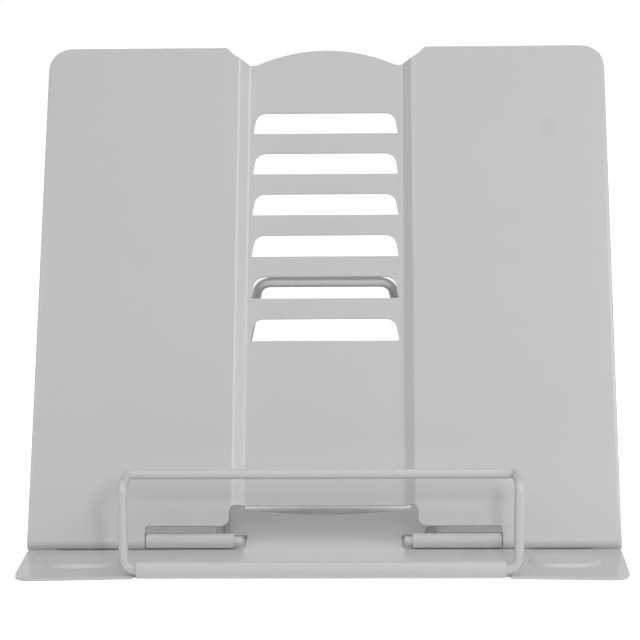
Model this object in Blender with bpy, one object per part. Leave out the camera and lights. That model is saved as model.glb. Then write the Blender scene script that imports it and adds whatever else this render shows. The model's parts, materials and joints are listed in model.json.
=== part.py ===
"""Folding book stand: a pressed sheet back plate that leans on a wire prop.

The back plate turns on two hinge pins in the rolled knuckles of a sheet base.
A wire prop turns in the rear hem of the base and hooks behind one of six slots
in the plate. A wire bail turns in the front hem and holds the open pages.

All lengths are in metres. +X is to the right, +Y to the rear and +Z up.
"""

import math

import bmesh
import bpy
from mathutils import Euler, Vector

# Sheet, rolls and running clearances
SHEET = 0.0010
ROLL_BORE_RADIUS = 0.0020
SIDE_PLAY = 0.0004
SEAT_GAP = 0.0003
ROLL_MOUTH = 0.0005
ROLL_STEPS = 16

# The whole stand
LEAN = math.radians(60.5)
STAND_HALF_WIDTH = 0.1050

# Back plate, measured up the plate from the hinge axis
PLATE_HEIGHT = 0.1914
PLATE_CORNER_RADIUS = 0.0085
RECESS_HALF_WIDTH = 0.0287
RECESS_RAMP = 0.0039
RECESS_DEPTH = 0.0030
CREASE_RADIUS = 0.0020
CREASE_STEPS = 3
RIM_WIDTH = 0.0015
RIM_DROP = 0.0004
RIM_FADE = 0.0060

# Top edge: a dome between two shallow valleys
DOME_RADIUS = 0.0600
DOME_RISE_ABOVE_VALLEY = 0.0061
SHOULDER_HALF_WIDTH = 0.0373
KNEE_HALF_WIDTH = 0.0346
KNEE_DROP = 0.0031
VALLEY_HALF_WIDTH = 0.0287
SHOULDER_RADIUS = 0.0016
KNEE_RADIUS = 0.0080
VALLEY_RADIUS = 0.0006
DOME_FOOT_RADIUS = 0.0060
DOME_STEPS = 12

# Six slots for the prop
SLOT_COUNT = 6
SLOT_PITCH = 0.01641
SLOT_FIRST = 0.0751
SLOT_HEIGHT = 0.0085
SLOT_BOTTOM_HALF = 0.0271
SLOT_TAPER = 0.0014
SLOT_TOP_RADIUS = 0.0038
SLOT_BOTTOM_RADIUS = 0.0004

# Window at the foot of the plate
WINDOW_LOW = 0.00515
WINDOW_HIGH = 0.01325
WINDOW_HIGH_HALF = 0.0336
WINDOW_OUTER_RADIUS = 0.0010
WINDOW_CORNER_RADIUS = 0.0030

# Base sheet, measured from the hinge axis
LEDGE_DEPTH = 0.0379
LEDGE_NECK_DEPTH = 0.0355
LEDGE_CORNER_RADIUS = 0.0065
LEDGE_REAR_RADIUS = 0.0012
LEDGE_REAR_GAP = 0.0005
HEM_AXIS_DEPTH = 0.0344
STRAP_HALF = 0.0628
HEM_NOTCH_WIDTH = 0.0016
HEM_NOTCH_DEPTH = 0.0009
KNUCKLE_INNER = 0.0315
RELIEF_WIDTH = 0.0037
RELIEF_FRONT = 0.0010
RELIEF_CORNER_RADIUS = 0.0008
ROLL_CORNER_RADIUS = 0.0005
TONGUE_SHOULDER_HALF = 0.0360
SHOULDER_DEPTH = 0.0167
TONGUE_SHOULDER_RADIUS = 0.0042
TONGUE_SPLAY_SHARE = 0.09
BAND_WIDTH = 0.0033
BAND_END = 0.0460
WING_FRONT = 0.0190
WING_HALF = 0.0700
WING_TAPER_START = 0.0640
WING_REAR_HALF = 0.0520
WING_REAR_SETBACK = 0.0030
WING_CORNER_RADIUS = 0.0080
WING_FRONT_RADIUS = 0.0010
WING_INNER_RADIUS = 0.0012
ARCH_FRONT = 0.0439
ARCH_HALF = 0.0314
ARCH_POINT = 0.0525
ARCH_REAR = 0.0800
ARCH_REAR_RADIUS = 0.0070
ARCH_POINT_RADIUS = 0.0012
ARCH_STEPS = 12
REAR_HEM_HALF = 0.0360
REAR_BEND_START = 0.0110
REAR_BEND_END = 0.0050

# Raised pads of the ledge and the soft feet under them
EMBOSS_MARGIN = 0.0079
EMBOSS_LENGTH = 0.0262
EMBOSS_WIDTH = 0.0155
EMBOSS_SETBACK = 0.0105
EMBOSS_RISE = 0.0012
EMBOSS_WALL = 0.0020
EMBOSS_STEPS = 8
EMBOSS_RINGS = 4
PAD_PROUD = 0.0005
END_DROOP_REAR = 0.0020
END_DROOP_FRONT = 0.0054
END_DROOP = 0.0004

# Hinge pins
PIN_RADIUS = 0.00185
PIN_END_CHAMFER = 0.0004
PIN_INNER_STANDOUT = 0.0029
PIN_OUTER_SHORTFALL = 0.0080
PIN_SIDES = 24

# Page bail
BAIL_WIRE_RADIUS = 0.0017
BAIL_LEG_HALF = 0.0672
BAIL_FOOT_RADIUS = 0.0044
BAIL_TOP_RISE = 0.0291
BAIL_REACH = 0.0172
BAIL_BEND_RADIUS = 0.0030
BAIL_CORNER_RADIUS = 0.0027
BAIL_GRIP_LENGTH = 0.0400

# Prop wire
PROP_WIRE_RADIUS = 0.00185
REST_SLOT = 1
PROP_CATCH_DROP = 0.00091
PROP_CLEARANCE = 0.0010
PROP_TOP_HALF = 0.0242
PROP_PIVOT_HALF = 0.0440
PROP_CORNER_RADIUS = 0.0050
PROP_FOOT_RADIUS = 0.0050
PROP_GRIP_LENGTH = 0.0280

WIRE_SIDES = 16
BEND_STEPS = 7
FILLET_STEPS = 5
TINY = 1e-7

# Derived places
ROLL_RADIUS = ROLL_BORE_RADIUS + SHEET
ROLL_MEAN = ROLL_BORE_RADIUS + SHEET / 2
ROLL_SWEEP = math.tau - math.acos((ROLL_BORE_RADIUS - ROLL_MOUTH) / ROLL_RADIUS)
ROLL_LENGTH = ROLL_MEAN * ROLL_SWEEP
AXIS_HEIGHT = PAD_PROUD + ROLL_RADIUS
REAR_AXIS_HEIGHT = ROLL_RADIUS
CURL_INNER = STRAP_HALF + SIDE_PLAY
LEDGE_INNER = STRAP_HALF + HEM_NOTCH_WIDTH
DOME_CENTRE = PLATE_HEIGHT - DOME_RADIUS
VALLEY_HEIGHT = PLATE_HEIGHT - DOME_RISE_ABOVE_VALLEY
TONGUE_HALF = KNUCKLE_INNER - RELIEF_WIDTH
LEDGE_REAR = math.sqrt((ROLL_RADIUS + LEDGE_REAR_GAP) ** 2 - ROLL_BORE_RADIUS ** 2)
EMBOSS_CENTRE = STAND_HALF_WIDTH - EMBOSS_MARGIN - EMBOSS_LENGTH / 2
LEDGE_SLANT = (LEDGE_DEPTH - LEDGE_NECK_DEPTH) / (STAND_HALF_WIDTH - LEDGE_INNER)
LEDGE_REACH = LEDGE_DEPTH - LEDGE_SLANT * LEDGE_CORNER_RADIUS
FRONT_REACH = max(LEDGE_REACH, HEM_AXIS_DEPTH + ROLL_RADIUS)
PROP_CATCH = SLOT_FIRST + REST_SLOT * SLOT_PITCH + SLOT_HEIGHT - PROP_CATCH_DROP


def prop_geometry():
    """Return the pivot's place, the leg length and the leg's angle at rest.

    The pivot lies as far from the hinge axis as from the bar, so the bar
    slides up behind the plate while the leg turns twice as far as the plate.
    """
    setback = SHEET + PROP_WIRE_RADIUS + PROP_CLEARANCE
    reach = math.hypot(PROP_CATCH, setback)
    lag = math.atan2(setback, PROP_CATCH)
    bar_y = reach * math.cos(LEAN - lag)
    bar_z = reach * math.sin(LEAN - lag)
    drop = AXIS_HEIGHT - REAR_AXIS_HEIGHT
    pivot_y = (reach * reach / 2 + drop * bar_z) / bar_y
    length = math.hypot(pivot_y, drop)
    angle = math.atan2(bar_z + drop, bar_y - pivot_y)
    return pivot_y, length, angle


PIVOT_DEPTH, PROP_LENGTH, PROP_ANGLE = prop_geometry()
CENTRE_DEPTH = (PIVOT_DEPTH + ROLL_RADIUS - FRONT_REACH) / 2


def clear_scene():
    for old in list(bpy.data.objects):
        bpy.data.objects.remove(old, do_unlink=True)


# Materials
def shader(name, colour, roughness, metallic):
    material = bpy.data.materials.new(name)
    material.use_nodes = True
    node = material.node_tree.nodes["Principled BSDF"]
    node.inputs["Base Color"].default_value = (*colour, 1.0)
    node.inputs["Roughness"].default_value = roughness
    node.inputs["Metallic"].default_value = metallic
    material.diffuse_color = (*colour, 1.0)
    return material


def silver_paint(name):
    return shader(name, (0.50, 0.50, 0.50), 0.45, 0.35)


def gloss_paint(name):
    return shader(name, (0.50, 0.50, 0.50), 0.30, 0.35)


def pin_paint(name):
    return shader(name, (0.50, 0.50, 0.50), 0.45, 0.35)


def foot_rubber(name):
    return shader(name, (0.05, 0.05, 0.05), 0.80, 0.0)


# Outlines
def rounded(corners):
    """Round a closed outline given as (x, y, radius) corners."""
    points = []
    count = len(corners)
    for index, (x, y, radius) in enumerate(corners):
        here = Vector((x, y))
        before = Vector(corners[index - 1][:2]) - here
        after = Vector(corners[(index + 1) % count][:2]) - here
        opening = before.angle(after)
        if radius == 0 or math.pi - opening < math.radians(1.0):
            points.append(here)
            continue
        room = min(before.length, after.length) / 2
        setback = min(radius / math.tan(opening / 2), room)
        true_radius = setback * math.tan(opening / 2)
        middle = (before.normalized() + after.normalized()).normalized()
        centre = here + middle * (true_radius / math.sin(opening / 2))
        first = here + before.normalized() * setback - centre
        last = here + after.normalized() * setback - centre
        turn = math.atan2(first.x * last.y - first.y * last.x, first.dot(last))
        steps = max(2, round(FILLET_STEPS * abs(turn) / (math.pi / 2)))
        for step in range(steps + 1):
            angle = turn * step / steps
            points.append(centre + Vector((
                first.x * math.cos(angle) - first.y * math.sin(angle),
                first.x * math.sin(angle) + first.y * math.cos(angle))))
    return points


def mirrored(half):
    """Close a right-hand run of corners, front to back, with its mirror."""
    left = [(-x, y, radius) for x, y, radius in reversed(half) if abs(x) > TINY]
    return half + left


def stadium(centre_x, centre_y, length, width, steps):
    points = []
    radius = width / 2
    straight = length / 2 - radius
    for side in (1, -1):
        for step in range(steps + 1):
            angle = math.pi * step / steps - math.pi / 2
            points.append(Vector((
                centre_x + side * (straight + radius * math.cos(angle)),
                centre_y + side * radius * math.sin(angle))))
    return points


# Sheet pieces: a flat blank, cut at its bends, then placed in space
def loop_edges(mesh, points):
    verts = [mesh.verts.new((point.x, point.y, 0)) for point in points]
    edges = [mesh.edges.new((a, b)) for a, b in zip(verts, verts[1:] + verts[:1])]
    return verts, edges


def fill_blank(outline, holes):
    mesh = bmesh.new()
    edges = []
    rings = []
    for points in [outline] + holes:
        verts, ring = loop_edges(mesh, points)
        rings.append(verts)
        edges += ring
    bmesh.ops.triangle_fill(mesh, edges=edges, use_beauty=True, normal=(0, 0, 1))
    return mesh, rings[1:]


def bend_line(mesh, place, along, inside=None):
    """Cut the blank along a line, only where the test on x and y holds."""
    faces = [face for face in mesh.faces
             if inside is None or inside(face.calc_center_median())]
    edges = list({edge for face in faces for edge in face.edges})
    verts = list({vert for face in faces for vert in face.verts})
    bmesh.ops.bisect_plane(mesh, geom=faces + edges + verts, dist=TINY,
                           plane_co=place, plane_no=along)


def thicken(mesh, put):
    """Give the blank its two skins and its edges; put maps x, y and depth."""
    solid = bmesh.new()
    skins = []
    for depth in (0.0, SHEET):
        skins.append({vert: solid.verts.new(put(vert.co.x, vert.co.y, depth))
                      for vert in mesh.verts})
    for face in mesh.faces:
        order = list(face.verts)
        if face.normal.z < 0:
            order.reverse()
        solid.faces.new([skins[0][vert] for vert in order])
        solid.faces.new([skins[1][vert] for vert in reversed(order)])
    for edge in mesh.edges:
        if len(edge.link_faces) != 1:
            continue
        face = edge.link_faces[0]
        start, end = edge.verts
        for loop in face.loops:
            if loop.edge is edge:
                start = loop.vert
                end = loop.link_loop_next.vert
        if face.normal.z < 0:
            start, end = end, start
        solid.faces.new((skins[0][end], skins[0][start],
                         skins[1][start], skins[1][end]))
    bmesh.ops.triangulate(solid, faces=solid.faces[:])
    mesh.free()
    return solid


def add_object(name, mesh, material, parent, smooth_angle):
    bmesh.ops.recalc_face_normals(mesh, faces=mesh.faces[:])
    data = bpy.data.meshes.new(name)
    mesh.to_mesh(data)
    mesh.free()
    data.materials.append(material)
    data.shade_smooth()
    data.set_sharp_from_angle(angle=math.radians(smooth_angle))
    piece = bpy.data.objects.new(name, data)
    bpy.context.scene.collection.objects.link(piece)
    piece.parent = parent
    return piece


def add_empty(name, place, parent=None):
    empty = bpy.data.objects.new(name, None)
    empty.location = place
    empty.parent = parent
    bpy.context.scene.collection.objects.link(empty)
    return empty


# Back plate
def plate_outline():
    half = [
        (0, WINDOW_HIGH, 0),
        (WINDOW_HIGH_HALF, WINDOW_HIGH, WINDOW_CORNER_RADIUS),
        (WINDOW_HIGH_HALF, WINDOW_LOW, WINDOW_CORNER_RADIUS),
        (CURL_INNER, WINDOW_LOW, WINDOW_OUTER_RADIUS),
        (CURL_INNER, -ROLL_LENGTH, ROLL_CORNER_RADIUS),
        (STAND_HALF_WIDTH, -ROLL_LENGTH, ROLL_CORNER_RADIUS),
        (STAND_HALF_WIDTH, PLATE_HEIGHT, PLATE_CORNER_RADIUS),
        (SHOULDER_HALF_WIDTH, PLATE_HEIGHT, SHOULDER_RADIUS),
        (KNEE_HALF_WIDTH, PLATE_HEIGHT - KNEE_DROP, KNEE_RADIUS),
        (VALLEY_HALF_WIDTH, VALLEY_HEIGHT, VALLEY_RADIUS),
    ]
    foot = math.acos((VALLEY_HEIGHT - DOME_CENTRE) / DOME_RADIUS)
    for step in range(DOME_STEPS, 0, -1):
        angle = foot * step / DOME_STEPS
        radius = DOME_FOOT_RADIUS if step == DOME_STEPS else 0
        half.append((DOME_RADIUS * math.sin(angle),
                     DOME_CENTRE + DOME_RADIUS * math.cos(angle), radius))
    half.append((0, PLATE_HEIGHT, 0))
    return rounded(mirrored(half))


def slot_outline(index):
    low = SLOT_FIRST + index * SLOT_PITCH
    high = low + SLOT_HEIGHT
    top_half = SLOT_BOTTOM_HALF - SLOT_TAPER
    return rounded([
        (SLOT_BOTTOM_HALF, low, SLOT_BOTTOM_RADIUS),
        (top_half, high, SLOT_TOP_RADIUS),
        (-top_half, high, SLOT_TOP_RADIUS),
        (-SLOT_BOTTOM_HALF, low, SLOT_BOTTOM_RADIUS),
    ])


def crease_offsets():
    """Return the places across one crease where its bend is cut."""
    slope = math.atan2(RECESS_DEPTH, RECESS_RAMP)
    tangent = CREASE_RADIUS * math.tan(slope / 2)
    return [CREASE_RADIUS * math.sin(slope * step / CREASE_STEPS) - tangent
            for step in range(CREASE_STEPS + 1)]


def crease_places():
    """Return the half widths of all the cuts beside the sunk middle strip."""
    inner = [RECESS_HALF_WIDTH + offset for offset in crease_offsets()]
    outer = [RECESS_HALF_WIDTH + RECESS_RAMP - offset for offset in crease_offsets()]
    return inner + outer


def recess_rise(offset):
    """Return the height over the sunk strip at a place across the slope."""
    if offset > RECESS_RAMP / 2:
        return RECESS_DEPTH - recess_rise(RECESS_RAMP - offset)
    start = crease_offsets()[0]
    end = crease_offsets()[-1]
    if offset < start:
        return 0.0
    if offset > end:
        return offset * RECESS_DEPTH / RECESS_RAMP
    along = offset - start
    return CREASE_RADIUS - math.sqrt(CREASE_RADIUS * CREASE_RADIUS - along * along)


def put_plate(x, y, depth):
    """Place a point of the plate: x across, y up the plate, z to its front."""
    if y < 0:
        angle = -y / ROLL_MEAN
        radius = ROLL_RADIUS - depth
        return Vector((x, -radius * math.sin(angle), radius * math.cos(angle)))
    rim = (abs(x) - STAND_HALF_WIDTH + RIM_WIDTH) / RIM_WIDTH
    front = ROLL_RADIUS - RECESS_DEPTH + recess_rise(abs(x) - RECESS_HALF_WIDTH)
    front -= RIM_DROP * max(rim, 0) * min(y / RIM_FADE, 1)
    return Vector((x, y, front - depth))


def build_plate(parent):
    slots = [slot_outline(index) for index in range(SLOT_COUNT)]
    blank, _ = fill_blank(plate_outline(), slots)
    bend_line(blank, (0, 0, 0), (0, 1, 0))
    for side in (1, -1):
        for half in crease_places():
            bend_line(blank, (side * half, 0, 0), (1, 0, 0))
        rim_start = STAND_HALF_WIDTH - RIM_WIDTH
        bend_line(blank, (side * rim_start, 0, 0), (1, 0, 0), lambda co: co.y > 0)
        bend_line(blank, (0, RIM_FADE, 0), (0, 1, 0),
                  lambda co: side * co.x > rim_start and co.y > 0)
    for step in range(1, ROLL_STEPS):
        low = -ROLL_LENGTH * step / ROLL_STEPS
        bend_line(blank, (0, low, 0), (0, 1, 0), lambda co: co.y < 0)
    solid = thicken(blank, put_plate)
    plate = add_object("back_plate", solid, silver_paint("plate_paint"), parent, 30)
    plate.rotation_euler = Euler((LEAN, 0, 0))
    return plate


# Base plate
def base_outline():
    tongue_end = TONGUE_SHOULDER_HALF + TONGUE_SPLAY_SHARE * (BAND_END - SHOULDER_DEPTH)
    wing_inner = TONGUE_SHOULDER_HALF + BAND_WIDTH
    wing_end = tongue_end + BAND_WIDTH
    wing_rear = PIVOT_DEPTH - WING_REAR_SETBACK
    hem_front = -HEM_AXIS_DEPTH - ROLL_LENGTH
    half = [
        (0, hem_front, 0),
        (STRAP_HALF, hem_front, ROLL_CORNER_RADIUS),
        (STRAP_HALF, -HEM_AXIS_DEPTH + HEM_NOTCH_DEPTH, HEM_NOTCH_WIDTH / 2),
        (LEDGE_INNER, -HEM_AXIS_DEPTH + HEM_NOTCH_DEPTH, HEM_NOTCH_WIDTH / 2),
        (LEDGE_INNER, -LEDGE_NECK_DEPTH, ROLL_CORNER_RADIUS),
        (STAND_HALF_WIDTH, -LEDGE_DEPTH, LEDGE_CORNER_RADIUS),
        (STAND_HALF_WIDTH, -LEDGE_REAR, LEDGE_REAR_RADIUS),
        (STRAP_HALF, -LEDGE_REAR, 0),
        (STRAP_HALF, ROLL_LENGTH, ROLL_CORNER_RADIUS),
        (KNUCKLE_INNER, ROLL_LENGTH, ROLL_CORNER_RADIUS),
        (KNUCKLE_INNER, -RELIEF_FRONT, RELIEF_CORNER_RADIUS),
        (TONGUE_HALF, -RELIEF_FRONT, RELIEF_CORNER_RADIUS),
        (TONGUE_HALF, SHOULDER_DEPTH, RELIEF_WIDTH / 2),
        (TONGUE_SHOULDER_HALF, SHOULDER_DEPTH, TONGUE_SHOULDER_RADIUS),
        (tongue_end, BAND_END, BAND_WIDTH / 2),
        (wing_end, BAND_END, BAND_WIDTH / 2),
        (wing_inner, WING_FRONT, WING_INNER_RADIUS),
        (WING_HALF, WING_FRONT, WING_FRONT_RADIUS),
        (WING_HALF, WING_TAPER_START, WING_CORNER_RADIUS),
        (WING_REAR_HALF, wing_rear, WING_CORNER_RADIUS),
        (REAR_HEM_HALF, wing_rear, 0),
        (REAR_HEM_HALF, PIVOT_DEPTH + ROLL_LENGTH, ROLL_CORNER_RADIUS),
        (0, PIVOT_DEPTH + ROLL_LENGTH, 0),
    ]
    return rounded(mirrored(half))


def arch_outline():
    rise = ARCH_POINT - ARCH_FRONT
    radius = (ARCH_HALF * ARCH_HALF + rise * rise) / (rise + rise)
    sweep = math.asin(ARCH_HALF / radius)
    half = [(0, ARCH_FRONT, 0)]
    for step in range(1, ARCH_STEPS):
        angle = sweep * step / ARCH_STEPS
        half.append((radius * math.sin(angle),
                     ARCH_FRONT + radius - radius * math.cos(angle), 0))
    half.append((ARCH_HALF, ARCH_POINT, ARCH_POINT_RADIUS))
    half.append((ARCH_HALF, ARCH_REAR, ARCH_REAR_RADIUS))
    return rounded(mirrored(half))


def emboss_ring(side, inset):
    centre_x = side * EMBOSS_CENTRE
    centre_y = -EMBOSS_SETBACK - EMBOSS_WIDTH / 2
    return stadium(centre_x, centre_y, EMBOSS_LENGTH - inset - inset,
                   EMBOSS_WIDTH - inset - inset, EMBOSS_STEPS)


def emboss_height(x, y):
    straight = EMBOSS_LENGTH / 2 - EMBOSS_WIDTH / 2
    along = abs(abs(x) - EMBOSS_CENTRE)
    across = abs(y + EMBOSS_SETBACK + EMBOSS_WIDTH / 2)
    inside = EMBOSS_WIDTH / 2 - math.hypot(max(along - straight, 0), across)
    share = min(max(inside / EMBOSS_WALL, 0), 1)
    return EMBOSS_RISE * (1 - math.cos(math.pi * share)) / 2


def end_droop_width(y):
    """Return how far inboard the ledge's end starts to bend down."""
    share = (-y - LEDGE_REAR) / (LEDGE_DEPTH - LEDGE_REAR)
    return END_DROOP_REAR + (END_DROOP_FRONT - END_DROOP_REAR) * share


def put_base(x, y, depth):
    """Place a point of the base blank: rolls at the front, hinge and rear."""
    radius = ROLL_BORE_RADIUS + depth
    if y < -HEM_AXIS_DEPTH and abs(x) < STRAP_HALF + TINY:
        angle = (-HEM_AXIS_DEPTH - y) / ROLL_MEAN
        return Vector((x, -HEM_AXIS_DEPTH - radius * math.sin(angle),
                       AXIS_HEIGHT - radius * math.cos(angle)))
    if y > PIVOT_DEPTH:
        angle = (y - PIVOT_DEPTH) / ROLL_MEAN
        return Vector((x, PIVOT_DEPTH + radius * math.sin(angle),
                       REAR_AXIS_HEIGHT - radius * math.cos(angle)))
    if 0 < y < ROLL_LENGTH + TINY and abs(x) > KNUCKLE_INNER - TINY:
        angle = y / ROLL_MEAN
        return Vector((x, radius * math.sin(angle),
                       AXIS_HEIGHT - radius * math.cos(angle)))
    height = AXIS_HEIGHT - radius + emboss_height(x, y)
    width = end_droop_width(y)
    if y < 0:
        height -= END_DROOP * max(abs(x) - STAND_HALF_WIDTH + width, 0) / width
    start = PIVOT_DEPTH - REAR_BEND_START
    ramp = (y - start) / (REAR_BEND_START - REAR_BEND_END)
    height -= PAD_PROUD * min(max(ramp, 0), 1)
    return Vector((x, y, height))


def build_base(parent):
    embosses = [emboss_ring(side, 0) for side in (1, -1)]
    blank, rings = fill_blank(base_outline(), [arch_outline()] + embosses)
    for side, lower in zip((1, -1), rings[1:]):
        for step in range(1, EMBOSS_RINGS + 1):
            inset = EMBOSS_WALL * step / EMBOSS_RINGS
            upper = [blank.verts.new((point.x, point.y, 0))
                     for point in emboss_ring(side, inset)]
            for index in range(-1, len(upper) - 1):
                blank.faces.new((lower[index], lower[index + 1],
                                 upper[index + 1], upper[index]))
            lower = upper
        blank.faces.new(lower)
    for face in blank.faces:
        face.normal_update()
    for side in (1, -1):
        spread = (END_DROOP_FRONT - END_DROOP_REAR) / (LEDGE_DEPTH - LEDGE_REAR)
        start = STAND_HALF_WIDTH - end_droop_width(0)
        bend_line(blank, (side * start, 0, 0), (1, -side * spread, 0),
                  lambda co: co.y < 0 and side * co.x > 0)
    for place in (REAR_BEND_START, REAR_BEND_END):
        bend_line(blank, (0, PIVOT_DEPTH - place, 0), (0, 1, 0))
    for step in range(ROLL_STEPS):
        offset = ROLL_LENGTH * step / ROLL_STEPS
        bend_line(blank, (0, -HEM_AXIS_DEPTH - offset, 0), (0, 1, 0),
                  lambda co: abs(co.x) < STRAP_HALF and co.y < -HEM_AXIS_DEPTH + offset
                  or step == 0)
        bend_line(blank, (0, offset, 0), (0, 1, 0),
                  lambda co: abs(co.x) > KNUCKLE_INNER and -RELIEF_FRONT < co.y < ROLL_LENGTH
                  or step == 0)
        bend_line(blank, (0, PIVOT_DEPTH + offset, 0), (0, 1, 0))
    solid = thicken(blank, put_base)
    return add_object("base_plate", solid, silver_paint("base_paint"), parent, 30)


# Soft feet
def build_foot(name, side, parent):
    points = emboss_ring(side, EMBOSS_WALL + SEAT_GAP)
    height = PAD_PROUD + EMBOSS_RISE - SEAT_GAP
    mesh = bmesh.new()
    face = mesh.faces.new([mesh.verts.new((point.x, point.y, 0)) for point in points])
    lifted = bmesh.ops.extrude_face_region(mesh, geom=[face])["geom"]
    verts = [item for item in lifted if isinstance(item, bmesh.types.BMVert)]
    bmesh.ops.translate(mesh, verts=verts, vec=(0, 0, height))
    bmesh.ops.triangulate(mesh, faces=mesh.faces[:])
    return add_object(name, mesh, foot_rubber(name + "_rubber"), parent, 30)


# Round wire and pins
def bend_points(corners):
    """Return a centre line through (point, bend radius) corners."""
    points = [corners[0][0]]
    for index in range(1, len(corners) - 1):
        here, radius = corners[index]
        before = corners[index - 1][0] - here
        after = corners[index + 1][0] - here
        opening = before.angle(after)
        setback = radius / math.tan(opening / 2)
        middle = (before.normalized() + after.normalized()).normalized()
        centre = here + middle * (radius / math.sin(opening / 2))
        first = here + before.normalized() * setback - centre
        last = here + after.normalized() * setback - centre
        sweep = first.angle(last)
        steps = max(2, round(BEND_STEPS * sweep / (math.pi / 2)))
        for step in range(steps + 1):
            share = step / steps
            across = (math.sin((1 - share) * sweep) * first
                      + math.sin(share * sweep) * last) / math.sin(sweep)
            points.append(centre + across)
    points.append(corners[-1][0])
    return points


def tube(points, radius, sides):
    """Sweep a round section along the centre line and cap both ends."""
    mesh = bmesh.new()
    rings = []
    heading = (points[1] - points[0]).normalized()
    side_way = heading.orthogonal().normalized()
    for index, point in enumerate(points):
        before = points[max(index - 1, 0)]
        after = points[min(index + 1, len(points) - 1)]
        into = (point - before).normalized() if index else (after - point).normalized()
        out = (after - point).normalized() if index < len(points) - 1 else into
        tangent = (into + out).normalized()
        side_way = side_way - tangent * side_way.dot(tangent)
        side_way.normalize()
        other = tangent.cross(side_way)
        stretch = 1 / max(tangent.dot(into), TINY)
        lean = out - into
        ring = []
        for step in range(sides):
            angle = math.tau * step / sides
            way = side_way * math.cos(angle) + other * math.sin(angle)
            if lean.length > TINY:
                fold = lean.normalized()
                way = way + fold * way.dot(fold) * (stretch - 1)
            ring.append(mesh.verts.new(point + way * radius))
        rings.append(ring)
    for lower, upper in zip(rings, rings[1:]):
        for step in range(sides):
            after = (step + 1) % sides
            mesh.faces.new((lower[step], lower[after], upper[after], upper[step]))
    mesh.faces.new(list(reversed(rings[0])))
    mesh.faces.new(rings[-1])
    bmesh.ops.triangulate(mesh, faces=mesh.faces[:])
    return mesh


def mirror_run(half):
    """Join the left-hand run, reversed in x, to the right-hand run."""
    left = [(Vector((-point.x, point.y, point.z)), radius) for point, radius in half]
    return left + list(reversed(half))


def build_pin(name, side, parent):
    inner = KNUCKLE_INNER - PIN_INNER_STANDOUT
    outer = STAND_HALF_WIDTH - PIN_OUTER_SHORTFALL
    profile = [
        (inner, 0),
        (inner, PIN_RADIUS - PIN_END_CHAMFER),
        (inner + PIN_END_CHAMFER, PIN_RADIUS),
        (outer - PIN_END_CHAMFER, PIN_RADIUS),
        (outer, PIN_RADIUS - PIN_END_CHAMFER),
        (outer, 0),
    ]
    mesh = bmesh.new()
    verts = [mesh.verts.new((side * x, 0, radius)) for x, radius in profile]
    edges = [mesh.edges.new(pair) for pair in zip(verts, verts[1:])]
    bmesh.ops.spin(mesh, geom=verts + edges, cent=(0, 0, 0), axis=(1, 0, 0),
                   angle=math.tau, steps=PIN_SIDES, use_merge=True)
    bmesh.ops.remove_doubles(mesh, verts=mesh.verts[:], dist=TINY)
    bmesh.ops.triangulate(mesh, faces=mesh.faces[:])
    return add_object(name, mesh, pin_paint(name + "_paint"), parent, 30)


def build_bail(parent):
    grip_end = STRAP_HALF - BAIL_GRIP_LENGTH
    half = [
        (Vector((grip_end, 0, 0)), 0),
        (Vector((BAIL_LEG_HALF, 0, 0)), BAIL_FOOT_RADIUS),
        (Vector((BAIL_LEG_HALF, 0, BAIL_TOP_RISE)), BAIL_BEND_RADIUS),
        (Vector((BAIL_LEG_HALF, BAIL_REACH, BAIL_TOP_RISE)), BAIL_CORNER_RADIUS),
    ]
    points = bend_points(mirror_run(half))
    mesh = tube(points, BAIL_WIRE_RADIUS, WIRE_SIDES)
    return add_object("page_bail", mesh, gloss_paint("bail_paint"), parent, 40)


def build_prop(parent):
    grip_end = REAR_HEM_HALF - PROP_GRIP_LENGTH
    half = [
        (Vector((grip_end, 0, 0)), 0),
        (Vector((PROP_PIVOT_HALF, 0, 0)), PROP_FOOT_RADIUS),
        (Vector((PROP_TOP_HALF, PROP_LENGTH, 0)), PROP_CORNER_RADIUS),
    ]
    points = bend_points(mirror_run(half))
    mesh = tube(points, PROP_WIRE_RADIUS, WIRE_SIDES)
    prop = add_object("prop_wire", mesh, gloss_paint("prop_paint"), parent, 40)
    prop.rotation_euler = Euler((PROP_ANGLE, 0, 0))
    return prop


def main():
    clear_scene()
    stand = add_empty("stand_frame", (0, -CENTRE_DEPTH, 0))
    hinge = add_empty("hinge_axis", (0, 0, AXIS_HEIGHT), stand)
    front_hem = add_empty("bail_axis", (0, -HEM_AXIS_DEPTH, AXIS_HEIGHT), stand)
    rear_hem = add_empty("prop_axis", (0, PIVOT_DEPTH, REAR_AXIS_HEIGHT), stand)
    build_base(stand)
    build_plate(hinge)
    build_pin("hinge_pin_left", -1, hinge)
    build_pin("hinge_pin_right", 1, hinge)
    build_bail(front_hem)
    build_prop(rear_hem)
    build_foot("foot_pad_left", -1, stand)
    build_foot("foot_pad_right", 1, stand)


if __name__ == "__main__":
    main()
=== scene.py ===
"""Looks of the folding book stand: sheet metal, wires, pins, feet and a plain studio.

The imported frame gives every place. The sheet pieces start from a merged copy of
their own solid, so their cut rims can be rounded; the wires, pins and feet are
extruded and spun from primitives. All lengths are in metres.
"""

import json
import math

import bmesh
import bpy
from bpy.props import FloatProperty, FloatVectorProperty, IntProperty, PointerProperty
from mathutils import Matrix, Vector


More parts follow.
